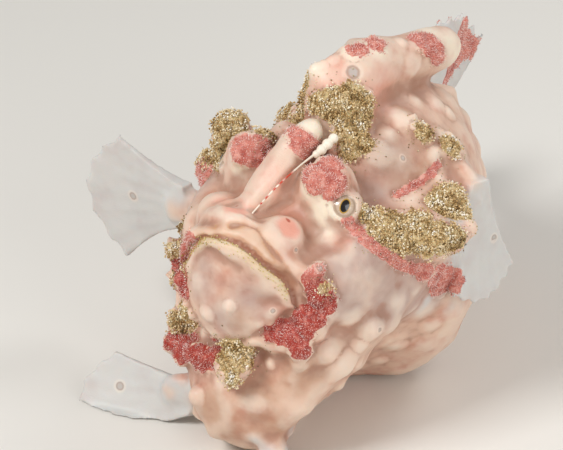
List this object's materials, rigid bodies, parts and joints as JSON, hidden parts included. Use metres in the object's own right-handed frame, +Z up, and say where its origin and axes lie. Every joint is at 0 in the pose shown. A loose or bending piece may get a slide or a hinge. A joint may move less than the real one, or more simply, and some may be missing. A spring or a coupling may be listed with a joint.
{
  "type": "frogfish",
  "caption": "Life-size still model of a warty frogfish resting on its breast and leg-like fins, mouth shut, with folded lure, raised skin-covered spine, hand-like fins and bent tail.",
  "frame": {"origin": "on the floor, under the middle of the whole fish's box", "axes": "the fish faces -Y and its tail points to +Y; +X is its left side; +Z is up from the floor it rests on"},
  "size_m": [0.0568, 0.0756, 0.0474],
  "materials": {
    "skin": "soft satin, moist, finely prickled",
    "fin_web": "satin membrane, slightly translucent",
    "eye": "wet gloss",
    "lure_rod": "satin, banded",
    "lure_flesh": "soft satin"
  },
  "bodies": {
    "root": {"head": "skin", "lower_jaw": "skin", "trunk": "skin", "tail_stalk": "skin", "third_dorsal_spine": "skin", "second_dorsal_spine": "skin", "illicium": "lure_rod", "lure": "lure_flesh", "eye_left": "eye", "eye_right": "eye", "pectoral_arm_left": "skin", "pectoral_arm_right": "skin", "pelvic_limb_left": "skin", "pelvic_limb_right": "skin", "pectoral_fin_left": "fin_web", "pectoral_fin_right": "fin_web", "pelvic_fin_left": "fin_web", "pelvic_fin_right": "fin_web", "dorsal_fin": "fin_web", "anal_fin": "fin_web", "tail_fin": "fin_web"}
  },
  "joints": []
}
